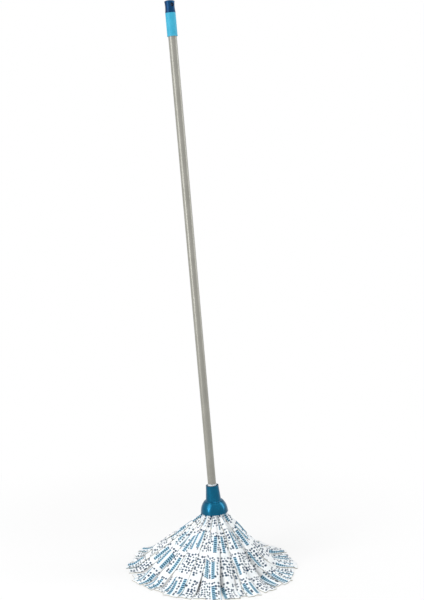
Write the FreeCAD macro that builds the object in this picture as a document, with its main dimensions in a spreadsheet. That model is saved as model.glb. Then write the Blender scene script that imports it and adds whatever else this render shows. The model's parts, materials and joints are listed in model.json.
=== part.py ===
"""A strip mop: a tube handle with a coarse thread, screwed into a bell that clamps layers of cloth strips.

Frame: +Z up, origin on the floor under the centre of the bell's rim. The handle leans towards -X in the
XZ plane. The rigid pieces are modelled upright and stood on the leaning handle axis by their Placement.
Millimetres.
"""
import FreeCAD, Part
import math
import os
import re
import Sketcher
from FreeCAD import Placement, Rotation, Vector

# ---------------------------------------------------------------- driving dimensions
SIZES = (
    # name, value, what it is
    ("lean", 4.9, "handle axis from the vertical, towards -X, degrees"),
    ("rim_height", 152.5, "centre of the bell's rim above the floor"),
    ("fit_gap", 0.1, "between a piece and the hole or tube it is pushed into"),
    ("seat_gap", 0.05, "above and below the loose stop ring"),
    ("tube_radius", 11.0, "outside of the handle tube"),
    ("tube_wall", 0.6, "steel wall of the tube"),
    ("tube_length", 1231.0, "cut length of the tube"),
    ("grip_wall", 2.25, "grip sleeve over the tube"),
    ("grip_length", 58.0, "length of the grip sleeve"),
    ("grip_flare", 0.35, "how far the grip's lower lip stands out"),
    ("grip_lip", 2.2, "height of the grip's lower lip"),
    ("cap_height", 32.0, "end cap above the tube's end"),
    ("cap_waist", 1.1, "how deep the cap's side is hollowed"),
    ("cap_foot", 1.8, "straight part at the cap's foot"),
    ("cap_crown", 3.2, "height of the cap's domed top"),
    ("cap_round", 1.0, "rounding of the cap's upper edge"),
    ("plug_length", 28.0, "plugs that sit inside the tube's ends"),
    ("plug_wall", 2.6, "wall of those plugs"),
    ("eye_radius", 5.0, "hanging hole through the cap"),
    ("eye_height", 19.4, "centre of the hanging hole above the tube's end"),
    ("eye_turn", 33.0, "hanging hole's axis from -Y towards +X, degrees"),
    ("ring_height", 2.5, "stop ring between collar and handle"),
    ("ring_wall", 1.3, "radial width of the stop ring"),
    ("flange_height", 1.5, "flange of the threaded insert"),
    ("flange_step", 0.5, "how far that flange stands out past the tube"),
    ("thread_core", 8.6, "core radius of the handle thread"),
    ("thread_depth", 2.0, "height of the thread above its core"),
    ("thread_pitch", 5.0, "rise of one turn"),
    ("thread_root", 3.0, "axial width of the thread at its core"),
    ("thread_crest", 1.6, "axial width of the thread at its top"),
    ("thread_bite", 0.4, "how far the thread's section is buried in its core"),
    ("thread_gap", 0.35, "clearance all round the thread"),
    ("thread_length", 24.0, "axial length of the male thread"),
    ("thread_start", 5.0, "plain shank between collar face and thread"),
    ("shank_length", 31.0, "insert below the collar's face"),
    ("insert_bore", 5.5, "radius of the hollow inside the insert"),
    ("sleeve_wall", 1.65, "wall of the socket's threaded sleeve outside the groove"),
    ("relief_width", 2.6, "open groove between sleeve and neck"),
    ("relief_depth", 12.0, "depth of that groove"),
    ("neck_wall", 1.8, "wall of the neck at the collar"),
    ("neck_length", 39.8, "from the ledge to the collar's face"),
    ("neck_taper", 3.4, "growth of the neck's radius from collar to shoulder"),
    ("collar_lip", 0.3, "bead round the collar"),
    ("collar_lip_height", 2.4, "height of the bead round the collar"),
    ("collar_round", 0.8, "rounding of the collar's outer edge"),
    ("shoulder_width", 4.6, "ledge between neck and dome"),
    ("shoulder_groove", 1.1, "flat groove round the ledge's foot"),
    ("shoulder_drop", 2.4, "slope of that ledge"),
    ("shoulder_step", 1.5, "step from the ledge down to the dome"),
    ("ledge_round", 0.9, "rounding of the ledge's edge"),
    ("bell_radius", 36.9, "outside of the bell at its rim"),
    ("bell_wall", 2.2, "wall of the bell"),
    ("skirt_height", 8.0, "conical part of the bell above its rim"),
    ("skirt_flare", 1.2, "growth of the radius down that part"),
    ("dome_height", 33.4, "neck's foot above the rim"),
    ("dome_round", 42.0, "radius of the dome's profile"),
    ("web_height", 3.0, "floor under the threaded bore"),
    ("web_gap", 2.0, "from the insert's foot to that floor"),
    ("post_radius", 5.7, "barbed post of the retainer"),
    ("post_bore", 3.2, "hollow of the post"),
    ("barb", 1.1, "how far the barbs catch past the post"),
    ("barb_height", 1.5, "height of the barbs above the web"),
    ("slot_width", 2.0, "cross slots that let the barbs spring"),
    ("slot_depth", 6.0, "how far those slots run below the web"),
    ("hub_radius", 9.5, "shoulder of the retainer under the web"),
    ("hub_foot", 6.0, "underside of the retainer's hub above the rim"),
    ("cup_height", 22.0, "height of the retainer's cone"),
    ("cup_wall", 2.0, "wall of the retainer's cone"),
    ("rib_width", 1.6, "thickness of the retainer's ribs"),
    ("rib_count", 6, "ribs in the retainer"),
    ("clamp_gap", 0.45, "between clamped cloth and its neighbours"),
    ("clamp_length", 20.0, "strip held inside the bell"),
    ("cloth_thickness", 1.8, "thickness of a strip"),
    ("strip_width", 44.0, "width of a strip"),
    ("strip_side_gap", 1.0, "between gathered neighbours in one layer"),
    ("layer_count", 3, "layers of strips"),
    ("layer_strips", 12, "strips in a layer"),
    ("layer_rise", 2.7, "height of a layer's hem above the layer below"),
    ("hem_radius", 226.0, "reach of the strips on the floor"),
    ("hem_flat", 26.0, "end of each strip that lies flat"),
    ("strip_drop", 2.0, "how far a strip falls clear of the rim before it spreads"),
    ("outer_fall", 1.1, "exponent of the outer layer's fall; 1 is a straight cone"),
    ("middle_fall", 1.4, "exponent of the middle layer's fall"),
    ("inner_fall", 1.85, "exponent of the inner layer's fall"),
)
MATH_WORDS = ("sin", "cos", "sqrt", "abs", "deg")
STEPS_ALONG = (0.0, 0.05, 0.12, 0.22, 0.36, 0.52, 0.68, 0.84, 1.0)

doc = FreeCAD.newDocument("StripMop")
sheet = doc.addObject("Spreadsheet::Sheet", "Sizes")
for row, (name, value, meaning) in enumerate(SIZES, 1):
    sheet.set(f"A{row}", meaning)
    sheet.set(f"B{row}", str(value))
    sheet.setAlias(f"B{row}", name)
doc.recompute()
parts = []


def bound(text):
    """The expression with each size's name pointing at the sheet."""
    return re.sub(
        r"[a-z][a-z_]*", lambda w: w[0] if w[0] in MATH_WORDS else "Sizes." + w[0], text
    )


def number(text):
    """The value of an expression, from the sheet as it is now."""
    return float(sheet.evalExpression(bound(text)))


# ---------------------------------------------------------------- heights and radii that several pieces share
COLLAR = "(dome_height + neck_length)"
INSERT_FLANGE = "(2 * seat_gap + ring_height)"
INSERT_TOP = f"({INSERT_FLANGE} + flange_height)"
TUBE_FOOT = f"({COLLAR} + {INSERT_TOP})"
TUBE_TOP = f"({TUBE_FOOT} + tube_length)"
PLUG_RADIUS = "(tube_radius - tube_wall - fit_gap)"
GRIP_RADIUS = "(tube_radius + grip_wall)"
THREAD_RADIUS = "(thread_core + thread_depth)"
BORE_RADIUS = "(thread_core + thread_gap)"
GROOVE_RADIUS = f"({THREAD_RADIUS} + thread_gap)"
SLEEVE_RADIUS = f"({GROOVE_RADIUS} + sleeve_wall)"
NECK_TOP = f"({SLEEVE_RADIUS} + relief_width + neck_wall)"
NECK_FOOT = f"({NECK_TOP} + neck_taper)"
LEDGE = f"({NECK_FOOT} + shoulder_width)"
SHOULDER = f"({LEDGE} + shoulder_groove)"
WEB_TOP = f"({COLLAR} - shank_length - web_gap)"
WEB_FOOT = f"({WEB_TOP} - web_height)"
DOME_TOP = "(dome_height - shoulder_drop - shoulder_step)"
SKIRT_TOP = "(bell_radius - skirt_flare)"
BELL_INSIDE = "(bell_radius - bell_wall)"
INNER_TOP = f"({SHOULDER} - bell_wall)"
INNER_HEIGHT = f"({DOME_TOP} - bell_wall / 2)"
INNER_ROUND = "(dome_round - bell_wall)"


def dome_inside(height):
    """Radius of the dome's inside at a height above the rim, between the skirt's top and the shoulder."""
    run = f"({SKIRT_TOP} - {SHOULDER})"
    rise = f"({INNER_HEIGHT} - skirt_height)"
    chord = f"sqrt({run}^2 + {rise}^2)"
    reach = f"sqrt({INNER_ROUND}^2 - ({chord} / 2)^2)"
    centre_radius = f"({INNER_TOP} + {run} / 2 - {rise} / {chord} * {reach})"
    centre_height = f"(skirt_height + {rise} / 2 - {run} / {chord} * {reach})"
    return f"({centre_radius} + sqrt({INNER_ROUND}^2 - ({height} - {centre_height})^2))"


CUP_TAPER = f"(({BELL_INSIDE} - {dome_inside('clamp_length')}) * cos(180 deg / layer_strips))"


def layer_radii():
    """Middle radius of each layer at the rim, from the bell inwards, and the radius left for the cone.

    A strip is flat across its width, so its edges reach further out than its middle.
    """
    limit = BELL_INSIDE
    radii = []
    for _ in range(int(number("layer_count"))):
        outside = f"({limit} * cos(180 deg / layer_strips) - clamp_gap)"
        radii.append(f"({outside} - cloth_thickness / 2)")
        limit = f"({outside} - cloth_thickness)"
    return radii, f"({limit} - clamp_gap)"


LAYER_RADII, CUP_RADIUS = layer_radii()


# ---------------------------------------------------------------- helpers
def lean_axis(item, height):
    """Stands an upright piece on the leaning handle axis, with its own zero at that height above the rim."""
    item.Placement = Placement(Vector(0, 0, 0), Rotation(Vector(0, 1, 0), -1))
    item.setExpression("Placement.Base.x", bound(f"-sin(lean * 1 deg) * ({height})"))
    item.setExpression("Placement.Base.z", bound(f"rim_height + cos(lean * 1 deg) * ({height})"))
    item.setExpression("Placement.Rotation.Angle", bound("-lean * 1 deg"))


def new_body(label, height):
    body = doc.addObject("PartDesign::Body", label)
    body.Label = label
    lean_axis(body, height)
    parts.append(body)
    return body


def new_sketch(body, role, name):
    sketch = body.newObject("Sketcher::SketchObject", name)
    plane = next(f for f in body.Origin.OriginFeatures if f.Role == role)
    sketch.AttachmentSupport = [(plane, "")]
    sketch.MapMode = "FlatFace"
    return sketch


def hold(sketch, kind, geometry, point, text):
    """Fixes a point's distance from the sketch's origin to an expression; kind is DistanceX or DistanceY."""
    if abs(number(text)) < 1e-9:
        axis = -2 if kind == "DistanceX" else -1
        sketch.addConstraint(Sketcher.Constraint("PointOnObject", geometry, point, axis))
        return
    index = sketch.addConstraint(
        Sketcher.Constraint(kind, -1, 1, geometry, point, number(text))
    )
    sketch.setExpression(f"Constraints[{index}]", bound(text))


def arc_between(start, end, radius):
    """The arc from start to end, bulging to the left of the way along, or to the right if radius is negative."""
    along = end - start
    half = along.Length / 2
    left = Vector(-along.y, along.x, 0).normalize()
    side = 1 if radius > 0 else -1
    depth = abs(radius) - math.sqrt(radius * radius - half * half)
    middle = (start + end) * 0.5 + left * (side * depth)
    return Part.Arc(start, middle, end)


def outline(sketch, corners):
    """A closed outline through corners (across, up), each an expression.

    A third entry is the radius of the arc that leads to the next corner, positive where it bulges to the left.
    """
    points = [Vector(number(c[0]), number(c[1]), 0) for c in corners]
    ends = []
    for i, corner in enumerate(corners):
        start = points[i]
        end = points[(i + 1) % len(points)]
        if len(corner) == 2:
            ends.append((sketch.addGeometry(Part.LineSegment(start, end), False), 1, 2))
            continue
        arc = arc_between(start, end, number(corner[2]))
        index = sketch.addGeometry(arc, False)
        first = sketch.getPoint(index, 1)
        at_start = (first - start).Length < (first - end).Length
        ends.append((index, 1, 2) if at_start else (index, 2, 1))
        size = abs(number(corner[2]))
        radius = sketch.addConstraint(Sketcher.Constraint("Radius", index, size))
        sketch.setExpression(f"Constraints[{radius}]", bound(f"abs({corner[2]})"))
    for i, corner in enumerate(corners):
        index, first, last = ends[i]
        following, start, _ = ends[(i + 1) % len(ends)]
        sketch.addConstraint(Sketcher.Constraint("Coincident", index, last, following, start))
        hold(sketch, "DistanceX", index, first, corner[0])
        hold(sketch, "DistanceY", index, first, corner[1])


def turned(label, height, corners):
    """A body turned about its own Z from an outline of (radius, height) corners."""
    body = new_body(label, height)
    sketch = new_sketch(body, "XZ_Plane", label + "_outline")
    outline(sketch, corners)
    feature = body.newObject("PartDesign::Revolution", label + "_turned")
    feature.Profile = (sketch, [""])
    feature.ReferenceAxis = (sketch, ["V_Axis"])
    feature.Angle = 360
    sketch.Visibility = False
    doc.recompute()
    return body


def circle_edges(shape, radius, height):
    """Names of the circular edges of that radius round Z at that height."""
    names = []
    for i, edge in enumerate(shape.Edges, 1):
        if edge.Degenerated or not isinstance(edge.Curve, Part.Circle):
            continue
        circle = edge.Curve
        if abs(circle.Radius - radius) < 1e-3 and abs(circle.Center.z - height) < 1e-3:
            names.append(f"Edge{i}")
    return names


def rounded(body, label, radius, rings):
    """Rounds the circular edges (radius, height) of a body's latest feature."""
    base = body.Tip
    names = []
    for ring_radius, ring_height in rings:
        names += circle_edges(base.Shape, number(ring_radius), number(ring_height))
    feature = body.newObject("PartDesign::Fillet", label)
    feature.Base = (base, names)
    feature.setExpression("Radius", bound(radius))
    doc.recompute()
    return feature


def helix(body, kind, label, radii, widths, start, length):
    """A right-handed helical ridge or groove, from start upwards over length.

    Its section is a trapezoid: radii are its inner and outer radius, and widths its axial width at each.
    """
    inside, outside = radii
    root, crest = widths
    sketch = new_sketch(body, "XZ_Plane", label + "_section")
    outline(
        sketch,
        [
            (inside, f"{start} - ({root}) / 2"),
            (outside, f"{start} - ({crest}) / 2"),
            (outside, f"{start} + ({crest}) / 2"),
            (inside, f"{start} + ({root}) / 2"),
        ],
    )
    feature = body.newObject(kind, label)
    feature.Profile = (sketch, [""])
    feature.ReferenceAxis = (sketch, ["V_Axis"])
    feature.Mode = 0
    feature.LeftHanded = False
    feature.Reversed = False
    feature.setExpression("Pitch", bound("thread_pitch"))
    feature.setExpression("Height", bound(length))
    sketch.Visibility = False
    doc.recompute()
    return feature


def pipe(label, height, outside, inside, start, end):
    """A plain tube between two heights."""
    return turned(label, height, [(inside, start), (outside, start), (outside, end), (inside, end)])


# ---------------------------------------------------------------- handle
def handle_tube():
    pipe("handle_tube", TUBE_FOOT, "tube_radius", "tube_radius - tube_wall", "0", "tube_length")


def grip_sleeve():
    """Soft sleeve that ends flush with the tube, with a small lip at its lower end."""
    turned(
        "grip_sleeve",
        f"{TUBE_TOP} - grip_length",
        [
            ("tube_radius", "0"),
            (f"{GRIP_RADIUS} + grip_flare", "0"),
            (f"{GRIP_RADIUS} + grip_flare", "grip_lip"),
            (GRIP_RADIUS, "grip_lip + 2 * grip_flare"),
            (GRIP_RADIUS, "grip_length"),
            ("tube_radius", "grip_length"),
        ],
    )


def end_cap():
    """Waisted cap with a domed top, a plug into the tube, and a cross hole to hang the mop by."""
    side = "cap_height - cap_crown - cap_foot"
    side_arc = f"((({side}) / 2)^2 + cap_waist^2) / (2 * cap_waist)"
    crown_arc = f"({GRIP_RADIUS}^2 + cap_crown^2) / (2 * cap_crown)"
    body = turned(
        "end_cap",
        TUBE_TOP,
        [
            (PLUG_RADIUS, "-plug_length"),
            (PLUG_RADIUS, "0"),
            (GRIP_RADIUS, "0"),
            (GRIP_RADIUS, "cap_foot", side_arc),
            (GRIP_RADIUS, "cap_height - cap_crown", crown_arc + " * -1"),
            ("0", "cap_height"),
            ("0", "0"),
            (f"{PLUG_RADIUS} - plug_wall", "0"),
            (f"{PLUG_RADIUS} - plug_wall", "-plug_length"),
        ],
    )
    rounded(body, "cap_edge", "cap_round", [(GRIP_RADIUS, "cap_height - cap_crown")])
    sketch = new_sketch(body, "XZ_Plane", "eye_circle")
    circle = sketch.addGeometry(Part.Circle(Vector(0, 0, 0), Vector(0, 0, 1), number("eye_radius")))
    size = sketch.addConstraint(Sketcher.Constraint("Radius", circle, number("eye_radius")))
    sketch.setExpression(f"Constraints[{size}]", bound("eye_radius"))
    hold(sketch, "DistanceX", circle, 3, "0")
    hold(sketch, "DistanceY", circle, 3, "eye_height")
    sketch.AttachmentOffset = Placement(Vector(0, 0, 0), Rotation(Vector(0, 1, 0), 1))
    sketch.setExpression("AttachmentOffset.Rotation.Angle", bound("eye_turn * 1 deg"))
    eye = body.newObject("PartDesign::Pocket", "hanging_eye")
    eye.Profile = sketch
    eye.Type = "ThroughAll"
    eye.Midplane = True
    sketch.Visibility = False
    doc.recompute()


def thread_insert():
    """Plug that fills the tube's lower end and carries the coarse right-hand thread below a flange."""
    body = turned(
        "thread_insert",
        COLLAR,
        [
            ("insert_bore", "-shank_length"),
            ("thread_core", "-shank_length"),
            ("thread_core", "0"),
            (THREAD_RADIUS, "0"),
            (THREAD_RADIUS, INSERT_FLANGE),
            ("tube_radius + flange_step", INSERT_FLANGE),
            ("tube_radius + flange_step", INSERT_TOP),
            (PLUG_RADIUS, INSERT_TOP),
            (PLUG_RADIUS, f"{INSERT_TOP} + plug_length"),
            ("insert_bore", f"{INSERT_TOP} + plug_length"),
        ],
    )
    inside = "thread_core - thread_bite"
    grown = "thread_root + (thread_root - thread_crest) * thread_bite / thread_depth"
    start = "-(thread_start + thread_length)"
    helix(body, "PartDesign::AdditiveHelix", "male_thread",
          (inside, THREAD_RADIUS), (grown, "thread_crest"), start, "thread_length")


def stop_ring():
    """Loose washer between the collar and the insert's flange."""
    inside = f"{THREAD_RADIUS} + fit_gap"
    pipe("stop_ring", f"{COLLAR} + seat_gap", f"{inside} + ring_wall", inside, "0", "ring_height")


# ---------------------------------------------------------------- head
def bell_housing():
    """Neck with the threaded socket, ledge, domed bell, and the web that the retainer snaps through."""
    floor_of_groove = f"{COLLAR} - relief_depth"
    ceiling = f"{floor_of_groove} - web_height"
    neck_inside = f"({NECK_TOP} - neck_wall)"
    thread_relief = f"{COLLAR} - thread_start - thread_length + thread_root / 2 + thread_gap"
    bead = f"{NECK_TOP} + collar_lip"
    body = turned(
        "bell_housing",
        "0",
        [
            (BELL_INSIDE, "0"),
            ("bell_radius", "0"),
            (SKIRT_TOP, "skirt_height", "-dome_round"),
            (SHOULDER, DOME_TOP),
            (LEDGE, DOME_TOP),
            (LEDGE, "dome_height - shoulder_drop"),
            (NECK_FOOT, "dome_height"),
            (NECK_TOP, f"{COLLAR} - collar_lip_height - collar_lip"),
            (bead, f"{COLLAR} - collar_lip_height"),
            (bead, COLLAR),
            (neck_inside, COLLAR),
            (neck_inside, floor_of_groove),
            (SLEEVE_RADIUS, floor_of_groove),
            (SLEEVE_RADIUS, COLLAR),
            (BORE_RADIUS, COLLAR),
            (BORE_RADIUS, thread_relief),
            (GROOVE_RADIUS, thread_relief),
            (GROOVE_RADIUS, WEB_TOP),
            ("post_radius + fit_gap", WEB_TOP),
            ("post_radius + fit_gap", WEB_FOOT),
            (SLEEVE_RADIUS, WEB_FOOT),
            (SLEEVE_RADIUS, ceiling),
            (neck_inside, ceiling),
            (neck_inside, INNER_HEIGHT),
            (INNER_TOP, INNER_HEIGHT, INNER_ROUND),
            (f"{SKIRT_TOP} - bell_wall", "skirt_height"),
        ],
    )
    rounded(body, "collar_edge", "collar_round", [(bead, COLLAR)])
    rounded(body, "ledge_edge", "ledge_round", [(LEDGE, "dome_height - shoulder_drop")])
    across = "thread_depth + thread_gap + thread_bite"
    grown = "(thread_root - thread_crest) * thread_bite / thread_depth"
    helix(body, "PartDesign::SubtractiveHelix", "female_thread",
          (f"{GROOVE_RADIUS} - ({across})", GROOVE_RADIUS),
          (f"thread_root + 2 * thread_gap + {grown}", "thread_crest + 2 * thread_gap"),
          f"{COLLAR} - thread_start - thread_length",
          "thread_start + thread_length + thread_pitch")


def fringe_retainer():
    """Cone that wedges the strips against the bell, snapped through the web by a slotted, barbed post."""
    body = turned(
        "fringe_retainer",
        "0",
        [
            (cone(CUP_RADIUS, "0"), "0"),
            (cone(CUP_RADIUS, "cup_height"), "cup_height"),
            ("hub_radius", "cup_height"),
            ("hub_radius", WEB_FOOT),
            ("post_radius", WEB_FOOT),
            ("post_radius", WEB_TOP),
            ("post_radius + barb", WEB_TOP),
            ("post_radius", f"{WEB_TOP} + barb_height"),
            ("post_bore", f"{WEB_TOP} + barb_height"),
            ("post_bore", "hub_foot"),
            ("hub_radius", "hub_foot"),
            ("hub_radius", "cup_height - cup_wall"),
            (cone(CUP_RADIUS, "cup_height") + " - cup_wall", "cup_height - cup_wall"),
            (cone(CUP_RADIUS, "0") + " - cup_wall", "0"),
        ],
    )
    retainer_ribs(body)
    post_slots(body)


def cone(radius, height):
    """Radius on the clamping cone at a height above the rim, from its radius at the rim."""
    return f"{radius} - {CUP_TAPER} * ({height}) / clamp_length"


def retainer_ribs(body):
    """Radial ribs from the hub to the cone, buried half a wall deep in both."""
    sketch = new_sketch(body, "XZ_Plane", "rib_outline")
    buried = "hub_radius - cup_wall / 2"
    outline(
        sketch,
        [
            (buried, "hub_foot"),
            (cone(CUP_RADIUS, "hub_foot") + " - cup_wall / 2", "hub_foot"),
            (cone(CUP_RADIUS, "cup_height") + " - cup_wall / 2", "cup_height - cup_wall / 2"),
            (buried, "cup_height - cup_wall / 2"),
        ],
    )
    rib = body.newObject("PartDesign::Pad", "rib")
    rib.Profile = sketch
    rib.setExpression("Length", bound("rib_width"))
    rib.Midplane = True
    ring = body.newObject("PartDesign::PolarPattern", "ribs")
    ring.Originals = [rib]
    ring.Axis = (sketch, ["V_Axis"])
    ring.Angle = 360
    ring.setExpression("Occurrences", bound("rib_count"))
    body.Tip = ring
    sketch.Visibility = False
    doc.recompute()


def post_slots(body):
    """Two crossed slots that part the post's end into four springs."""
    for role, name in (("XZ_Plane", "slot_along_y"), ("YZ_Plane", "slot_along_x")):
        sketch = new_sketch(body, role, name + "_outline")
        outline(
            sketch,
            [
                ("-slot_width / 2", f"{WEB_FOOT} - slot_depth"),
                ("slot_width / 2", f"{WEB_FOOT} - slot_depth"),
                ("slot_width / 2", f"{WEB_TOP} + barb_height + web_gap"),
                ("-slot_width / 2", f"{WEB_TOP} + barb_height + web_gap"),
            ],
        )
        slot = body.newObject("PartDesign::Pocket", name)
        slot.Profile = sketch
        slot.Type = "ThroughAll"
        slot.Midplane = True
        sketch.Visibility = False
        doc.recompute()


# ---------------------------------------------------------------- strips
def strip_sections(layer, turn):
    """Centres of a strip's cross-sections, from the clamped end to the hem, and how wide it is at each.

    It is held along the clamping cone, drops clear of the rim, and falls along a curve to a level hem.
    """
    tilt = Rotation(Vector(0, 1, 0), -number("lean"))
    rim_centre = Vector(0, 0, number("rim_height"))
    outwards = Vector(math.cos(turn), math.sin(turn), 0)
    radius = number(LAYER_RADII[layer])
    slope = number(f"{CUP_TAPER} / clamp_length")

    def on_cone(height):
        return rim_centre + tilt.multVec(outwards * (radius - slope * height) + Vector(0, 0, height))

    hem_height = number("cloth_thickness / 2") + number("layer_rise") * (number("layer_count") - 1 - layer)
    fall = number(("outer_fall", "middle_fall", "inner_fall")[layer])
    start = on_cone(-number("strip_drop"))
    hem = outwards * number("hem_radius - hem_flat") + Vector(0, 0, hem_height)
    centres = [on_cone(number("clamp_length"))]
    for step in STEPS_ALONG:
        level = start + (hem - start) * step
        height = hem_height + (start.z - hem_height) * (1 - step) ** fall
        centres.append(Vector(level.x, level.y, height))
    centres.append(hem + outwards * number("hem_flat"))
    return centres


def gathered_width(radius):
    """Width of a strip at a distance from the middle of the fringe: full, or what its neighbours leave it."""
    room = 2 * radius * math.tan(math.pi / number("layer_strips")) - number("strip_side_gap")
    return min(number("strip_width"), room)


def strip(label, layer, turn):
    """One strip as a ruled solid through rectangular sections square to its middle line."""
    centres = strip_sections(layer, turn)
    tilt = Rotation(Vector(0, 1, 0), -number("lean"))
    rim_centre = Vector(0, 0, number("rim_height"))
    thickness = number("cloth_thickness")
    level = Vector(-math.sin(turn), math.cos(turn), 0)
    sections = []
    for i, centre in enumerate(centres):
        before = centres[max(i - 1, 0)]
        after = centres[min(i + 1, len(centres) - 1)]
        across = tilt.multVec(level) if i < 2 else level
        if i == len(centres) - 1:
            before = Vector(before.x, before.y, after.z)
        through = (after - before).normalize().cross(across).normalize()
        place = tilt.inverted().multVec(centre - rim_centre) if i < 2 else centre
        width = gathered_width(math.hypot(place.x, place.y) - thickness / 2)
        corners = [
            centre + across * (side * width / 2) + through * (face * thickness / 2)
            for side, face in ((-1, -1), (1, -1), (1, 1), (-1, 1))
        ]
        sections.append(Part.makePolygon(corners + corners[:1]))
    piece = doc.addObject("Part::Feature", label)
    piece.Label = label
    piece.Shape = Part.makeLoft(sections, True, True)
    parts.append(piece)


def strips():
    """Layers of strips, each layer turned by its share of the spacing so that the gaps are covered."""
    layers = int(number("layer_count"))
    count = int(number("layer_strips"))
    for layer in range(layers):
        for place in range(count):
            turn = 2 * math.pi * (place + layer / layers) / count
            strip(f"strip_{layer * count + place + 1:02d}", layer, turn)


# ---------------------------------------------------------------- build, check, write
def check():
    """Stops if anything in the document failed, or a sub-part is not one valid solid."""
    for item in doc.Objects:
        if "Invalid" in item.State or "Error" in item.State:
            raise RuntimeError(f"{item.Label} failed: {item.State}")
    for part in parts:
        shape = part.Shape
        if shape.isNull() or not shape.isValid() or len(shape.Solids) != 1:
            raise RuntimeError(f"{part.Label} is not one valid solid")


def write():
    os.makedirs("parts", exist_ok=True)
    for part in parts:
        part.Shape.exportStep(f"parts/{part.Label}.step")


handle_tube()
grip_sleeve()
end_cap()
thread_insert()
stop_ring()
bell_housing()
fringe_retainer()
strips()
doc.recompute()
check()
write()
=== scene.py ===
"""A strip mop on a white studio floor: coated tube, blue mouldings, a skirt of printed strips."""
import json
import math
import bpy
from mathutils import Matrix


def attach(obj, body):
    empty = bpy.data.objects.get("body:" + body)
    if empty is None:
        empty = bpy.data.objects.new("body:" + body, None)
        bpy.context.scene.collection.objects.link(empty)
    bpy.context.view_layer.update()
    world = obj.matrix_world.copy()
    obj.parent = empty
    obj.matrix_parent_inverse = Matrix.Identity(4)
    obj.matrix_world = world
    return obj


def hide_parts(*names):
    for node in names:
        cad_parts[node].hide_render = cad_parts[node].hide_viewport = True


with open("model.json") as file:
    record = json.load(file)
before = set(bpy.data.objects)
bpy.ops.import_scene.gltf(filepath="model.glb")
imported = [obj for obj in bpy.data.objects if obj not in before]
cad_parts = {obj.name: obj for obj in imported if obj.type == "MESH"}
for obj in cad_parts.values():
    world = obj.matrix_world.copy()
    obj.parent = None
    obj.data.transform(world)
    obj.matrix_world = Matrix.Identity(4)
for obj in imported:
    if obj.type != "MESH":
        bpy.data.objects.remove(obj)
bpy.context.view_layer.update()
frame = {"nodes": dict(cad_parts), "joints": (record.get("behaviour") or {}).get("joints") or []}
from types import SimpleNamespace

import bpy
import numpy as np
from mathutils import Vector

# ---------------------------------------------------------------- the strips, in metres
STRIP_LENGTH = 0.273
STRIP_WIDTH = 0.044
CLOTH = 0.0018             # thickness of a strip
CLAMPED = 0.018            # of a strip's length, inside the bell
TAB_WIDTH = 0.0160         # a strip's width in the clamp
CONE_SLOPE = 0.245         # outwards per metre down, along the clamp
LAYER_RADII = (0.0321, 0.0288, 0.0256)      # at the rim, outer layer first
LAYER_SLOPE = (38.8, 39.6, 40.6)            # fall of each layer, degrees below level
LOWEST_LAYER = len(LAYER_RADII) - 1
HEM_STEP = 0.0027          # from one layer's hem up to the next

# where a strip changes: start and run of each change along it, counted from the rim down
WIDENS = (-0.004, 0.150)   # from the tab's width to its own
WIDENING_POWER = 0.9       # below 1, it widens early
FLARES = (0.002, 0.016)    # from the clamp's direction to its own slope
FOLDS = (-0.012, 0.012)    # from flat to folded
RIM_FOLD_OPENS = (0, 0.11)          # the fold loses what it has more at the rim
HEM_FOLD_OPENS = (0.18, 0.07)       # and opens further towards the hem
RIPPLES_GROW = (0.01, 0.05)
DRIFTS = (0, 0.2)          # sets off round the mop
BANKS = (0.03, 0.08)       # tips over to one side
BANK_FADES = (0.19, 0.06)  # and lies flatter again
LIFTS = (0.004, 0.02)      # from held in the clamp to free to be lifted
SWAY_RUN = 0.255           # from the rim to where its sway has come back to nothing

# how strips differ from each other, in degrees unless metres are said
RIGHT_STEEPER, LEFT_FLATTER, SLOPE_SPREAD = 9.0, 2.0, 0.5
RIGHT_POWER = 1.3          # keeps the steep ones to the far right
LANDING, LANDING_SPREAD, RIGHT_LANDING = 0.028, 0.03, 0.11     # metres over which a strip lands
DRIFT, SWAY = 1.3, 1.3     # round the mop: at the hem, and halfway down
BANK, BANK_SPREAD = 12, 9  # one edge lower than the other
BANK_FADE = 0.75           # share of it that fades before the hem
CREASE_ASIDE = 0.35        # of half a width, how far off the middle the fold may lie
FOLD_LEAST, FOLD_SPREAD = 0.9, 0.5          # share of the fold's angles

# a strip's lengthwise fold, as angles of the cloth either side of it
FOLD, FOLD_AT_RIM, FOLD_AT_HEM = 34, 26, 10     # degrees: all along, more there, less there
FOLD_SHARPNESS = 0.13      # of half a width, over which the cloth turns at the crease
FOLD_SHARE, CURL_SHARE, CURL_POWER = 0.75, 0.4, 1.6     # of an angle, at the crease and the edges
RIPPLES = ((0.10, 4, 60), (0.07, 7, -95))   # radians; waves across a half width and per metre
RIPPLE_PHASE = 3           # radians, spread of where they start

# the print, along a strip
PRINT_REPEAT = 0.072
PRINT_BAND = 0.058         # printed part of that
PRINT_START = 0.024        # first band's start above the rim
PRINT_SPREAD = 0.0035      # and how much it differs from strip to strip
PRINT_ASIDE, PRINT_CHOICE = 0.02, 0.9       # where across the printed roll a strip is cut

# ---------------------------------------------------------------- how they are laid
ALONG, ACROSS = 84, 21     # grid of one strip, below the rim
HELD_ROWS = 8              # and rows more in the clamp
FLOOR_GRID = 0.001         # cell of the height map that strips are laid on
REACH = 0.27               # half the width of that map
CLEARANCE = CLOTH * 1.15   # between the middles of two strips that touch
LOWEST = CLOTH * 0.55      # middle of a strip on the floor
LIFT_ROUNDS = 3            # of easing a lift
BARE_FLOOR = -CLOTH * 0.6  # the map's height where nothing lies yet

turn_joint = next(j for j in frame["joints"] if j["name"] == "handle_turn")
rim_centre = np.array(turn_joint["pos_m"])
handle_axis = np.array(turn_joint["axis"])
handle_axis = handle_axis / np.linalg.norm(handle_axis)
lean = math.atan2(-handle_axis[0], handle_axis[2])
hand = np.random.default_rng(12)


# ---------------------------------------------------------------- mesh helpers
def smooth(t):
    """Eased step from 0 to 1, flat at both ends."""
    t = np.clip(t, 0, 1)
    return t * t * (3 - 2 * t)


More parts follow.
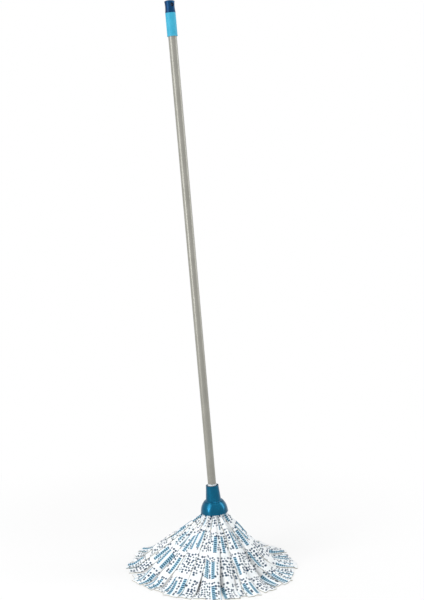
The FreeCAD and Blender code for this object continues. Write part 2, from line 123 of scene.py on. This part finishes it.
def eased(length, start, run):
    """0 up to a start, 1 beyond a run from there, eased between."""
    return smooth((length - start) / run)


def grid_mesh(name, points, uv):
    """A mesh over a grid of points (rows, columns, 3), with its own UV map in metres."""
    rows, columns = points.shape[:2]
    index = np.arange(rows * columns).reshape(rows, columns)
    corners = (index[:-1, :-1], index[:-1, 1:], index[1:, 1:], index[1:, :-1])
    quads = np.stack(corners, -1).reshape(-1, 4)
    mesh = bpy.data.meshes.new(name)
    mesh.vertices.add(rows * columns)
    mesh.vertices.foreach_set("co", points.reshape(-1).astype(np.float32))
    mesh.loops.add(quads.size)
    mesh.loops.foreach_set("vertex_index", quads.reshape(-1).astype(np.int32))
    mesh.polygons.add(len(quads))
    mesh.polygons.foreach_set("loop_start", np.arange(0, quads.size, 4, dtype=np.int32))
    mesh.update(calc_edges=True)
    layer = mesh.uv_layers.new(name="cut")
    uv = uv.reshape(-1, 2)[quads.reshape(-1)]
    layer.data.foreach_set("uv", uv.reshape(-1).astype(np.float32))
    mesh.polygons.foreach_set("use_smooth", np.ones(len(quads), dtype=bool))
    mesh.validate()
    piece = bpy.data.objects.new(name, mesh)
    bpy.context.scene.collection.objects.link(piece)
    return piece


# ---------------------------------------------------------------- node helpers
def shader(tree, kind, **settings):
    """A new node of a kind, with its settings."""
    node = tree.nodes.new(kind)
    for key, value in settings.items():
        setattr(node, key, value)
    return node


def feed(tree, socket, value):
    """Links a socket to another, or sets it."""
    if isinstance(value, bpy.types.NodeSocket):
        tree.links.new(value, socket)
    else:
        socket.default_value = value


def calc(tree, operation, *values):
    """One Math node; returns its output."""
    node = shader(tree, "ShaderNodeMath", operation=operation)
    for socket, value in zip(node.inputs, values):
        feed(tree, socket, value)
    return node.outputs[0]


def blend(tree, amount, first, second):
    """Mixes two colours; returns the result."""
    node = shader(tree, "ShaderNodeMix", data_type="RGBA")
    feed(tree, node.inputs[0], amount)
    feed(tree, node.inputs[6], first)
    feed(tree, node.inputs[7], second)
    return node.outputs[2]


def ramp(tree, value, low, high):
    """Maps low..high to 0..1, eased and held at the ends."""
    node = shader(tree, "ShaderNodeMapRange", interpolation_type="SMOOTHSTEP")
    feed(tree, node.inputs[0], value)
    node.inputs[1].default_value = low
    node.inputs[2].default_value = high
    return node.outputs[0]


def noise(tree, vector, scale, detail, distortion=0.0):
    """One Noise Texture; returns its value."""
    node = shader(tree, "ShaderNodeTexNoise")
    feed(tree, node.inputs["Vector"], vector)
    feed(tree, node.inputs["Scale"], scale)
    node.inputs["Detail"].default_value = detail
    node.inputs["Distortion"].default_value = distortion
    return node.outputs[0]


def mapped(tree, vector, scale=(1, 1, 1), turn=(0, 0, 0)):
    """A vector scaled and turned by a Mapping node."""
    node = shader(tree, "ShaderNodeMapping")
    node.inputs["Scale"].default_value = scale
    node.inputs["Rotation"].default_value = turn
    tree.links.new(vector, node.inputs["Vector"])
    return node.outputs[0]


def split(tree, vector):
    """The three outputs of a vector's parts."""
    node = shader(tree, "ShaderNodeSeparateXYZ")
    tree.links.new(vector, node.inputs[0])
    return node.outputs


def own_coordinates(tree):
    """A piece's Object coordinates."""
    return shader(tree, "ShaderNodeTexCoord").outputs["Object"]


def cloth_coordinates(tree):
    """A strip's UV in metres, as it was cut."""
    return shader(tree, "ShaderNodeUVMap", uv_map="cut").outputs[0]


def paint(red, green, blue):
    """A colour given as it looks on screen, 0 to 255, in linear light."""
    shares = [c / 255 for c in (red, green, blue)]
    values = [((c + 0.055) / 1.055) ** 2.4 if c > 10 / 255 else c / 12.92 for c in shares]
    return (*values, 1.0)


def new_group(name, inputs, outputs):
    """An empty shader group with its sockets; inputs and outputs are (name, type, value)."""
    tree = bpy.data.node_groups.new(name, "ShaderNodeTree")
    for label, kind, value in inputs:
        socket = tree.interface.new_socket(name=label, in_out="INPUT", socket_type=kind)
        if value is not None:
            socket.default_value = value
    for label, kind in outputs:
        tree.interface.new_socket(name=label, in_out="OUTPUT", socket_type=kind)
    return tree, shader(tree, "NodeGroupInput"), shader(tree, "NodeGroupOutput")


def new_material(name):
    """A material with an empty Principled BSDF; returns it, its tree and the BSDF."""
    material = bpy.data.materials.new(name)
    material.use_nodes = True
    tree = material.node_tree
    return material, tree, tree.nodes["Principled BSDF"]


def use_group(tree, group, **values):
    """Places a group in a material and feeds its inputs by name."""
    node = shader(tree, "ShaderNodeGroup", node_tree=group)
    for label, value in values.items():
        feed(tree, node.inputs[label], value)
    return node


def bump(tree, bsdf, height, distance):
    """Feeds a height, in metres at 1, to a shader's normal."""
    node = shader(tree, "ShaderNodeBump")
    node.inputs["Distance"].default_value = distance
    node.inputs["Strength"].default_value = 1.0
    tree.links.new(height, node.inputs["Height"])
    tree.links.new(node.outputs["Normal"], bsdf.inputs["Normal"])


# ---------------------------------------------------------------- shared effects
TONES = (0.3, 0.7)         # the part of a noise's range that goes from one tone to the other


def fibre_group():
    """Nonwoven cloth: tangled fibres as stretched noise laid over a faint square emboss."""
    emboss_depth, lump_depth = 0.25, 0.8        # against the fibres' own
    tree, given, out = new_group(
        "nonwoven fibres",
        [("Vector", "NodeSocketVector", None), ("Emboss", "NodeSocketFloat", 0.0021)],
        [("Height", "NodeSocketFloat"), ("Tone", "NodeSocketFloat")],
    )
    where = given.outputs["Vector"]
    fibre = noise(tree, where, scale=1500, detail=4, distortion=1.2)
    lumps = noise(tree, where, scale=90, detail=3)
    waves = []
    for place in split(tree, where)[:2]:
        phase = calc(tree, "DIVIDE", place, given.outputs["Emboss"])
        waves.append(calc(tree, "SINE", calc(tree, "MULTIPLY", phase, 2 * math.pi)))
    pits = calc(tree, "MULTIPLY", *waves)
    height = calc(tree, "MULTIPLY_ADD", pits, emboss_depth, fibre)
    height = calc(tree, "MULTIPLY_ADD", lumps, lump_depth, height)
    tree.links.new(height, out.inputs["Height"])
    tree.links.new(ramp(tree, lumps, *TONES), out.inputs["Tone"])
    return tree


def print_group():
    """Printed bands along a strip: columns of bars on a pale ground, with dots between them.

    The input is the strip's own UV in metres, across and along. The cloth is divided into lanes,
    and each may hold one column in each band; the numbers of the lane and the band decide whether
    it does, how far aside it lies and where it starts. Dots are Voronoi cells, each drawn whole or
    not at all by where its centre lies.
    """
    lane = 0.0200
    column_width, column_length = 0.0094, 0.050
    column_place, column_wander = 0.29, 0.42    # across its lane, of the lane's width
    start_slack = 0.006                         # by which a column may run past its band
    empty_lanes = 0.38                          # share of them
    bar_width, bar_pitch, bar_share = 0.0074, 0.0058, 0.6
    dot_spacing, dot_scatter = 0.0080, 0.5
    dot_radius, dot_growth = 0.26, 0.14         # least, and what chance adds, in dot spacings
    missing_dots = 0.06                         # share of them
    dot_margin = 0.0018                         # kept clear round a column
    band_lead, bar_lead = 4 * PRINT_REPEAT, 200 * bar_pitch     # keep remainders above 0
    lane_key, band_key = 7.31, 3.77             # spread neighbours' random numbers apart
    place_seed, start_seed, empty_seed = 0.5, 9.5, 21.5
    tree, given, out = new_group(
        "strip print",
        [("Vector", "NodeSocketVector", None)],
        [("Dark", "NodeSocketFloat"), ("Pale", "NodeSocketFloat")],
    )

    def both(*masks):
        """1 where every mask is 1."""
        result = masks[0]
        for mask in masks[1:]:
            result = calc(tree, "MULTIPLY", result, mask)
        return result

    def along_band(along):
        """Distance along the band that a place lies in."""
        return calc(tree, "MODULO", calc(tree, "ADD", along, band_lead), PRINT_REPEAT)

    def chance(key, seed):
        """A random number from 0 to 1 that belongs to a key."""
        white = shader(tree, "ShaderNodeTexWhiteNoise", noise_dimensions="1D")
        feed(tree, white.inputs["W"], calc(tree, "ADD", key, seed))
        return white.outputs["Value"]

    def in_column(across, along, margin):
        """1 in the lane's column grown by a margin, the place along it and the distance aside."""
        number = calc(tree, "FLOOR", calc(tree, "DIVIDE", across, lane))
        in_lane = calc(tree, "MULTIPLY_ADD", number, -lane, across)
        band = calc(tree, "DIVIDE", calc(tree, "ADD", along, band_lead), PRINT_REPEAT)
        band = calc(tree, "MULTIPLY", calc(tree, "FLOOR", band), band_key)
        key = calc(tree, "MULTIPLY_ADD", number, lane_key, band)
        wander = chance(key, place_seed)
        middle = calc(tree, "MULTIPLY_ADD", wander, lane * column_wander, lane * column_place)
        slack = PRINT_BAND - column_length + start_slack
        start = calc(tree, "MULTIPLY", chance(key, start_seed), slack)
        filled = calc(tree, "GREATER_THAN", chance(key, empty_seed), empty_lanes)
        aside = calc(tree, "ABSOLUTE", calc(tree, "SUBTRACT", in_lane, middle))
        near = calc(tree, "LESS_THAN", aside, column_width / 2 + margin)
        place = calc(tree, "SUBTRACT", along_band(along), start)
        begun = calc(tree, "GREATER_THAN", place, -margin)
        unfinished = calc(tree, "LESS_THAN", place, column_length + margin)
        return both(near, begun, unfinished, filled), place, aside

    across, along, _ = split(tree, given.outputs["Vector"])
    column, place, aside = in_column(across, along, 0.0)
    step = calc(tree, "MODULO", calc(tree, "ADD", place, bar_lead), bar_pitch)
    inked = calc(tree, "LESS_THAN", step, bar_pitch * bar_share)
    bars = both(column, inked, calc(tree, "LESS_THAN", aside, bar_width / 2))

    cells = shader(tree, "ShaderNodeTexVoronoi", voronoi_dimensions="2D")
    cells.inputs["Scale"].default_value = 1 / dot_spacing
    cells.inputs["Randomness"].default_value = dot_scatter
    tree.links.new(given.outputs["Vector"], cells.inputs["Vector"])
    dot_across, dot_along, _ = split(tree, cells.outputs["Position"])
    draw = shader(tree, "ShaderNodeSeparateColor")
    tree.links.new(cells.outputs["Color"], draw.inputs[0])
    radius = calc(tree, "MULTIPLY_ADD", draw.outputs[0], dot_growth, dot_radius)
    round_dots = calc(tree, "LESS_THAN", cells.outputs["Distance"], radius)
    kept = calc(tree, "GREATER_THAN", draw.outputs[1], missing_dots)
    banded = calc(tree, "LESS_THAN", along_band(dot_along), PRINT_BAND)
    taken, _, _ = in_column(dot_across, dot_along, dot_margin)
    dots = both(round_dots, kept, banded, calc(tree, "SUBTRACT", 1.0, taken))
    tree.links.new(calc(tree, "MAXIMUM", bars, dots), out.inputs["Dark"])
    tree.links.new(column, out.inputs["Pale"])
    return tree


def moulding_group():
    """Moulded plastic: very fine grain, broad flow marks and hairline scuffs.

    Grain is the height, flow marks drift the tone and the gloss, and scuffs dull the gloss.
    """
    flow_gloss = 0.10
    scuff_edge = (0.68, 0.74)           # high in the noise's range, so that scuffs are few
    tree, given, out = new_group(
        "moulded surface",
        [
            ("Vector", "NodeSocketVector", None),
            ("Grain", "NodeSocketFloat", 1600.0),
            ("Roughness", "NodeSocketFloat", 0.25),
            ("Scuffs", "NodeSocketFloat", 0.08),
        ],
        [
            ("Height", "NodeSocketFloat"),
            ("Roughness", "NodeSocketFloat"),
            ("Tone", "NodeSocketFloat"),
        ],
    )
    where = given.outputs["Vector"]
    grain = noise(tree, where, scale=given.outputs["Grain"], detail=2)
    flow = noise(tree, where, scale=28, detail=3)
    slanting = mapped(tree, where, scale=(900, 900, 25), turn=(0.3, 0.5, 0.0))
    scuffs = ramp(tree, noise(tree, slanting, scale=1, detail=1), *scuff_edge)
    rough = calc(
        tree, "MULTIPLY_ADD", scuffs, given.outputs["Scuffs"], given.outputs["Roughness"]
    )
    drift = calc(tree, "SUBTRACT", flow, 0.5)
    tree.links.new(
        calc(tree, "MULTIPLY_ADD", drift, flow_gloss, rough), out.inputs["Roughness"]
    )
    tree.links.new(grain, out.inputs["Height"])
    tree.links.new(ramp(tree, flow, *TONES), out.inputs["Tone"])
    return tree


fibres = fibre_group()
strip_print = print_group()
moulding = moulding_group()


# ---------------------------------------------------------------- materials
def plastic(
    name, colour, deep, roughness, grain_depth, grain=1600.0, scuffs=0.08, pearl=0.0, coat=0.0
):
    """Moulded plastic that drifts slightly between two tones.

    Pearl is the share of it that shines in its own colour.
    """
    material, tree, bsdf = new_material(name)
    surface = use_group(
        tree, moulding,
        Vector=own_coordinates(tree), Grain=grain, Roughness=roughness, Scuffs=scuffs,
    )
    tree.links.new(blend(tree, surface.outputs["Tone"], deep, colour), bsdf.inputs["Base Color"])
    tree.links.new(surface.outputs["Roughness"], bsdf.inputs["Roughness"])
    bsdf.inputs["Specular IOR Level"].default_value = 0.25
    bsdf.inputs["Metallic"].default_value = pearl
    bsdf.inputs["Coat Weight"].default_value = coat
    bsdf.inputs["Coat Roughness"].default_value = 0.12
    bump(tree, bsdf, surface.outputs["Height"], grain_depth)
    return material


def cloth_material():
    """White nonwoven with the blue print soaked into its upper fibres."""
    pale_strength, dark_strength = 0.86, 0.97
    material, tree, bsdf = new_material("printed nonwoven")
    where = cloth_coordinates(tree)
    surface = use_group(tree, fibres, Vector=where)
    ink = use_group(tree, strip_print, Vector=where)
    tone = surface.outputs["Tone"]
    white = blend(tree, tone, paint(236, 240, 243), paint(247, 249, 250))
    dark = blend(tree, tone, paint(0, 48, 76), paint(0, 66, 98))
    pale_ink = calc(tree, "MULTIPLY", ink.outputs["Pale"], pale_strength)
    dark_ink = calc(tree, "MULTIPLY", ink.outputs["Dark"], dark_strength)
    ground = blend(tree, pale_ink, white, paint(150, 204, 228))
    tree.links.new(blend(tree, dark_ink, ground, dark), bsdf.inputs["Base Color"])
    bsdf.inputs["Roughness"].default_value = 0.92
    bsdf.inputs["Specular IOR Level"].default_value = 0.1
    bump(tree, bsdf, surface.outputs["Height"], 0.00025)
    return material


def edge_painted_shade_material():
    """The strips' unprinted cut edges, coloured a darker beige-grey than the white cloth: painted
    shade that outlines each strip like the shadowed valleys between strips.
    """
    material, tree, bsdf = new_material("cloth edge painted shade")
    surface = use_group(tree, fibres, Vector=cloth_coordinates(tree))
    # painted shade: a beige-grey far darker than the cloth, standing in for the shadow along each
    # strip's edges
    colour = blend(tree, surface.outputs["Tone"], paint(166, 163, 148), paint(190, 187, 174))
    tree.links.new(colour, bsdf.inputs["Base Color"])
    bsdf.inputs["Roughness"].default_value = 0.95
    bump(tree, bsdf, surface.outputs["Height"], 0.0003)
    return material


def coated_tube_material():
    """Warm grey coating with faint long draw lines of the steel beneath it."""
    line_share = 0.35
    material, tree, bsdf = new_material("grey coated tube")
    upright = mapped(tree, own_coordinates(tree), turn=(0, lean, 0))
    surface = use_group(
        tree, moulding, Vector=upright, Grain=1100.0, Roughness=0.34, Scuffs=0.05
    )
    drawn_out = mapped(tree, upright, scale=(700, 700, 3))
    lines = noise(tree, drawn_out, scale=1, detail=2)
    flow = calc(tree, "MULTIPLY", surface.outputs["Tone"], 1 - line_share)
    tone = calc(tree, "MULTIPLY_ADD", lines, line_share, flow)
    colour = blend(tree, tone, paint(142, 141, 133), paint(152, 151, 143))
    tree.links.new(colour, bsdf.inputs["Base Color"])
    tree.links.new(surface.outputs["Roughness"], bsdf.inputs["Roughness"])
    bsdf.inputs["Metallic"].default_value = 0.35
    bump(tree, bsdf, surface.outputs["Height"], 0.00003)
    return material


def dress(material, *nodes):
    """Gives CAD nodes one material, in their own slots."""
    for node in nodes:
        piece = frame["nodes"][node]
        piece.data.materials.clear()
        piece.data.materials.append(material)


# ---------------------------------------------------------------- strips
def tilted(points):
    """Turns upright points onto the leaning handle axis, about the rim's centre."""
    sine, cosine = math.sin(lean), math.cos(lean)
    turned = np.stack(
        [
            points[..., 0] * cosine - points[..., 2] * sine,
            points[..., 1],
            points[..., 0] * sine + points[..., 2] * cosine,
        ],
        -1,
    )
    return turned + rim_centre


def strip_facts(node):
    """Direction of a CAD strip from the middle of the fringe, and how high its hem lies."""
    hem_depth = 0.002
    mesh = frame["nodes"][node].data
    points = np.empty(len(mesh.vertices) * 3, dtype=np.float32)
    mesh.vertices.foreach_get("co", points)
    points = points.reshape(-1, 3)
    reach = np.hypot(points[:, 0], points[:, 1])
    hem = points[reach > reach.max() - hem_depth]
    turn = math.atan2(hem[:, 1].mean(), hem[:, 0].mean())
    return turn, hem[:, 2].mean()


def draw_habit(layer, turn):
    """How one strip lies differently from the rest: all its random numbers, in a fixed order.

    Strips to the right, away from the handle's lean, fall more steeply and run out flat.
    """
    left, right = max(-math.cos(turn), 0), max(math.cos(turn), 0)
    slope = LAYER_SLOPE[layer] + RIGHT_STEEPER * right**RIGHT_POWER - LEFT_FLATTER * left
    return SimpleNamespace(
        slope=slope + hand.normal(0, SLOPE_SPREAD),
        landing=LANDING + LANDING_SPREAD * hand.random() + RIGHT_LANDING * right,
        drift=math.radians(hand.normal(0, DRIFT)),
        sway=math.radians(hand.normal(0, SWAY)),
        bank=math.radians(BANK + hand.normal(0, BANK_SPREAD)),
        fold=FOLD_LEAST + FOLD_SPREAD * hand.random(),
        crease=hand.uniform(-CREASE_ASIDE, CREASE_ASIDE),
        print_aside=hand.random(),
        print_along=hand.normal(0, PRINT_SPREAD),
        ripple=hand.normal(0, 1, 4),
    )


def fall_line(layer, turn, slope, landing):
    """Middle line of a strip in its own upright plane: length, distance out and height.

    Its angle below level is the clamp's, eases to the strip's slope just under the rim, and eases
    to level where it lands; the landing is moved, by halving, until the fall ends on the floor.
    """
    halvings = 30
    along = np.linspace(0, STRIP_LENGTH - CLAMPED, ALONG * 4)
    step = along[1] - along[0]
    start = tilted(np.array([math.cos(turn), math.sin(turn), 0.0]) * LAYER_RADII[layer])
    steep = math.atan2(1, CONE_SLOPE) + lean * math.cos(turn)
    angle = steep + (math.radians(slope) - steep) * eased(along, *FLARES)
    early, late = 0.05, STRIP_LENGTH * 1.6      # well before any landing, and well past it
    for _ in range(halvings):
        middle = (early + late) / 2
        bent = angle * (1 - smooth((along - middle + landing / 2) / landing))
        drop = np.sum(np.sin(bent)) * step
        early, late = (middle, late) if drop < start[2] - CLOTH else (early, middle)
    out = math.hypot(start[0], start[1]) + np.cumsum(np.cos(bent)) * step
    height = start[2] - np.cumsum(np.sin(bent)) * step
    return along, out, height


def middle_line(layer, turn, habit):
    """Points down the middle of a strip, held end first, and its length below the rim at each.

    In the clamp it follows the cone; below, it is the fall line carried round the mop by the
    strip's drift, which grows to the hem, and its sway, half a sine over the fall.
    """
    below = np.linspace(0, STRIP_LENGTH - CLAMPED, ALONG)
    held = np.linspace(-CLAMPED, 0, HELD_ROWS + 1)[:-1]
    along, out, height = fall_line(layer, turn, habit.slope, habit.landing)
    out = np.interp(below, along, out)
    height = np.interp(below, along, height)
    drift = habit.drift * eased(below, *DRIFTS)
    azimuth = turn + drift + habit.sway * np.sin(below / SWAY_RUN * math.pi)
    line = np.stack([out * np.cos(azimuth), out * np.sin(azimuth), height], -1)
    outwards = np.array([math.cos(turn), math.sin(turn), 0.0])
    radius = LAYER_RADII[layer] + CONE_SLOPE * held[:, None]
    clamp = outwards * radius - np.array([0, 0, 1.0]) * held[:, None]
    return np.concatenate([tilted(clamp), line]), np.concatenate([held, below])


def strip_axes(line, length, turn, bank):
    """Unit vectors across a strip and out of its face, at each point of its middle line.

    Across starts level and is squared to the line; both are then rolled by the bank, which grows
    below the rim and mostly fades before the hem.
    """
    level = np.array([-math.sin(turn), math.cos(turn), 0.0])
    out_and_up = np.array([math.cos(turn), math.sin(turn), 1.0])
    ahead = np.gradient(line, axis=0)
    ahead /= np.linalg.norm(ahead, axis=1, keepdims=True)
    side = level - ahead * (ahead @ level)[:, None]
    side /= np.linalg.norm(side, axis=1, keepdims=True)
    face = np.cross(side, ahead)
    face *= np.sign(face @ out_and_up)[:, None]
    kept = 1 - BANK_FADE * eased(length, *BANK_FADES)
    roll = bank * eased(length, *BANKS) * kept
    cosine, sine = np.cos(roll)[:, None], np.sin(roll)[:, None]
    return side * cosine + face * sine, face * cosine - side * sine


def fold_angles(share, length, habit):
    """Angle of the cloth across a strip, from one edge (-1) to the other (1), at each length.

    The fold is a tanh about the crease, with edges that curl by a power of their distance from the
    middle; two sine waves that run across and along add the ripples.
    """
    rim_part = 1 - eased(length, *RIM_FOLD_OPENS)
    hem_part = eased(length, *HEM_FOLD_OPENS)
    fold = habit.fold * np.radians(FOLD + FOLD_AT_RIM * rim_part - FOLD_AT_HEM * hem_part)
    curl = CURL_SHARE * np.sign(share) * np.abs(share) ** CURL_POWER
    crease = FOLD_SHARE * np.tanh((share - habit.crease) / FOLD_SHARPNESS)
    bend = (fold * eased(length, *FOLDS))[:, None] * (curl + crease)
    across, along, wave = share[None], length[:, None], 0.0
    for (angle, rate, fall), (size, phase) in zip(RIPPLES, habit.ripple.reshape(-1, 2)):
        path = across * rate + along * fall + phase * RIPPLE_PHASE
        wave = wave + angle * size * np.sin(path)
    return bend + wave * eased(along, *RIPPLES_GROW)


def summed_from_middle(steps):
    """Running sums across a strip, 0 at its middle column."""
    sums = np.cumsum(steps, axis=1)
    middle = ACROSS // 2
    return sums - sums[:, middle : middle + 1]


def lay_strip(node, heights):
    """Builds one strip: its cross-section, folded and rippled, carried along its middle line.

    It is then lifted clear of the strips already laid under it.
    """
    turn, hem_height = strip_facts(node)
    steps_up = round((hem_height - CLOTH / 2) / HEM_STEP)
    layer = int(np.clip(LOWEST_LAYER - steps_up, 0, LOWEST_LAYER))
    habit = draw_habit(layer, turn)
    line, length = middle_line(layer, turn, habit)
    side, face = strip_axes(line, length, turn, habit.bank)
    opening = eased(length, *WIDENS) ** WIDENING_POWER
    width = TAB_WIDTH + (STRIP_WIDTH - TAB_WIDTH) * opening
    share = np.linspace(-1, 1, ACROSS)
    bend = fold_angles(share, length, habit)
    pitch = width[:, None] / (ACROSS - 1)
    over = summed_from_middle(np.cos(bend) * pitch)
    down = summed_from_middle(np.sin(bend) * pitch)
    points = line[:, None] + side[:, None] * over[..., None] - face[:, None] * down[..., None]
    points = settle(points, length, heights)

    across = share[None] * width[:, None] / 2
    cut = np.stack(np.broadcast_arrays(across, length[:, None]), -1)
    aside = PRINT_ASIDE + habit.print_aside * PRINT_CHOICE
    cut = cut + np.array([aside, PRINT_START + habit.print_along])
    finish_strip(grid_mesh(node + "_cloth", points, cut), node)


def map_cells(points, heights):
    """Row and column of the height map's cell under each point."""
    cells = ((points[..., :2] + REACH) / FLOOR_GRID).astype(int)
    cells = np.clip(cells, 0, heights.shape[0] - 1)
    return cells[..., 0], cells[..., 1]


def softened(lift):
    """A lift averaged with its neighbours along and then across, weighted 1, 2, 3, 2, 1."""
    for _ in ("along", "across"):
        wide = np.pad(lift, ((2, 2), (0, 0)), mode="edge")
        lift = (wide[:-4] + 2 * wide[1:-3] + 3 * wide[2:-2] + 2 * wide[3:-1] + wide[4:]) / 9
        lift = lift.T
    return lift


def settle(points, length, heights):
    """Lifts a strip's points above the floor and the strips under it, then adds it to the map.

    The lift is eased along and across the strip so that cloth passes over an edge in a slope, not
    a step.
    """
    free = eased(length, *LIFTS)[:, None]
    under = heights[map_cells(points, heights)]
    need = np.maximum(under + CLEARANCE - points[..., 2], 0) * free
    lift = need
    for _ in range(LIFT_ROUNDS):
        lift = np.maximum(softened(lift), need)
    points = points.copy()
    points[..., 2] = np.maximum(points[..., 2] + lift, LOWEST)
    dense = refined(points[HELD_ROWS:])
    rows, columns = map_cells(dense, heights)
    np.maximum.at(heights, (rows.ravel(), columns.ravel()), dense[..., 2].ravel())
    return points


def refined(points, times=5):
    """The same grid surface with more points, by straight interpolation both ways."""
    for axis in (0, 1):
        count = points.shape[axis]
        at = np.linspace(0, count - 1, (count - 1) * times + 1)
        low = np.minimum(at.astype(int), count - 2)
        part = (at - low).reshape((-1, 1, 1) if axis == 0 else (1, -1, 1))
        before, after = np.take(points, low, axis), np.take(points, low + 1, axis)
        points = before * (1 - part) + after * part
    return points


def finish_strip(piece, node):
    """Gives a strip its thickness, its materials and its place in the frame."""
    piece.data.materials.append(printed)
    piece.data.materials.append(edge_painted_shade)
    wall = piece.modifiers.new("thickness", "SOLIDIFY")
    wall.thickness = CLOTH
    wall.offset = 0
    # the rims of the thickened strips take the edge material, whose darker colour is painted shade
    wall.material_offset_rim = 1
    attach(piece, "head")
    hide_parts(node)


def lay_fringe():
    """Lays the strips from the lowest layer up, each layer round the mop."""
    facts = {name: strip_facts(name) for name in frame["nodes"] if name.startswith("strip_")}
    cells = int(2 * REACH / FLOOR_GRID) + 1
    heights = np.zeros((cells, cells)) + BARE_FLOOR
    for node in sorted(facts, key=lambda name: (round(facts[name][1], 4), facts[name][0])):
        lay_strip(node, heights)


printed = cloth_material()
# the strips' edge material, coloured darker as painted shade between strips
edge_painted_shade = edge_painted_shade_material()
lay_fringe()

# ---------------------------------------------------------------- hard pieces
dress(coated_tube_material(), "handle_tube")
grip_blue = plastic(
    "light blue grip", paint(66, 176, 208), paint(54, 162, 196),
    roughness=0.42, grain_depth=0.00006, grain=900.0,
)
dress(grip_blue, "grip_sleeve")
cap_blue = plastic(
    "dark blue cap", paint(0, 64, 106), paint(0, 52, 92),
    roughness=0.32, grain_depth=0.00003, pearl=0.5,
)
dress(cap_blue, "end_cap")
petrol_blue = plastic(
    "petrol blue moulding", paint(0, 92, 124), paint(0, 78, 108),
    roughness=0.26, grain_depth=0.00002, scuffs=0.12, pearl=0.7, coat=0.08,
)
dress(petrol_blue, "bell_housing", "fringe_retainer")
white = plastic(
    "white plastic", paint(226, 231, 234), paint(214, 220, 224),
    roughness=0.38, grain_depth=0.00003,
)
dress(white, "thread_insert", "stop_ring")

# ---------------------------------------------------------------- studio
FLOOR_SIZE = 14
FLOOR_GREY = (0.9, 0.9, 0.9, 1)
WHITE = (1, 1, 1, 1)
SURROUND_LIGHT = 0.55      # of white, for what the surround lights
NEAR_GLOW = 0.55           # plain white's share of the floor by the mop; the rest shows its shadow
GLOW_FROM, GLOW_TO = 0.3, 1.1               # metres from the middle, where that grows to 1
LAMPS = (
    # name, place, aim, width, height, watts
    ("front left", (-2.0, -1.4, 1.6), (0, 0, 0.5), 1.3, 1.6, 25),
    ("low left", (-1.5, -1.3, 0.5), (0, 0, 0.25), 0.35, 0.7, 9),
    ("above", (0.3, -0.4, 3.2), (0, 0, 0.2), 1.6, 1.6, 24),
    ("right edge", (1.9, 0.2, 1.2), (0, 0, 0.4), 0.6, 1.8, 14),
)
EYE = (-0.0066, -2.736, 1.076)
TIPPED_DOWN = 7.32         # degrees
LENS = 63.27               # millimetres


def area_light(name, place, aim, width, height, watts):
    """A soft box at a place, facing its aim."""
    lamp = bpy.data.lights.new(name, "AREA")
    lamp.energy = watts
    lamp.shape = "RECTANGLE"
    lamp.size = width
    lamp.size_y = height
    body = bpy.data.objects.new(name, lamp)
    body.location = place
    body.rotation_euler = (Vector(aim) - Vector(place)).to_track_quat("-Z", "Y").to_euler()
    bpy.context.scene.collection.objects.link(body)


def white_for_the_eye(tree, lit, white, share):
    """Mixes in plain white for what the camera sees directly, by reflection or through glass."""
    path = shader(tree, "ShaderNodeLightPath")
    seen = calc(tree, "MAXIMUM", path.outputs["Is Camera Ray"], path.outputs["Is Glossy Ray"])
    seen = calc(tree, "MAXIMUM", seen, path.outputs["Is Transmission Ray"])
    mix = shader(tree, "ShaderNodeMixShader")
    tree.links.new(calc(tree, "MULTIPLY", seen, share), mix.inputs[0])
    tree.links.new(lit, mix.inputs[1])
    tree.links.new(white, mix.inputs[2])
    return mix.outputs[0]


def surround():
    """A world that lights softly and is plain white to the eye."""
    world = bpy.data.worlds.new("studio")
    bpy.context.scene.world = world
    world.use_nodes = True
    tree = world.node_tree
    lit = tree.nodes["Background"]
    lit.inputs["Color"].default_value = WHITE
    lit.inputs["Strength"].default_value = SURROUND_LIGHT
    white = shader(tree, "ShaderNodeBackground")
    white.inputs["Color"].default_value = WHITE
    white.inputs["Strength"].default_value = 1.0
    seen = white_for_the_eye(tree, lit.outputs[0], white.outputs[0], 1.0)
    tree.links.new(seen, tree.nodes["World Output"].inputs["Surface"])


def floor():
    """A pale floor that shows the mop's shadow and fades to plain white further out."""
    bpy.ops.mesh.primitive_plane_add(size=FLOOR_SIZE)
    plane = bpy.context.object
    plane.name = "floor"
    material, tree, bsdf = new_material("studio floor")
    bsdf.inputs["Base Color"].default_value = FLOOR_GREY
    bsdf.inputs["Roughness"].default_value = 0.9
    bsdf.inputs["Specular IOR Level"].default_value = 0.1
    glow = shader(tree, "ShaderNodeEmission")
    away = shader(tree, "ShaderNodeVectorMath", operation="LENGTH")
    tree.links.new(own_coordinates(tree), away.inputs[0])
    far = ramp(tree, away.outputs["Value"], GLOW_FROM, GLOW_TO)
    share = calc(tree, "MULTIPLY_ADD", far, 1 - NEAR_GLOW, NEAR_GLOW)
    seen = white_for_the_eye(tree, bsdf.outputs[0], glow.outputs[0], share)
    tree.links.new(seen, tree.nodes["Material Output"].inputs["Surface"])
    plane.data.materials.append(material)


def camera():
    """Portrait view from just over a metre up, tipped slightly down."""
    lens = bpy.data.cameras.new("camera")
    lens.lens = LENS
    eye = bpy.data.objects.new("camera", lens)
    eye.location = EYE
    eye.rotation_euler = (math.radians(90 - TIPPED_DOWN), 0, 0)
    bpy.context.scene.collection.objects.link(eye)
    bpy.context.scene.camera = eye


surround()
floor()
for lamp in LAMPS:
    area_light(*lamp)
camera()
bpy.context.scene.view_settings.view_transform = "Standard"
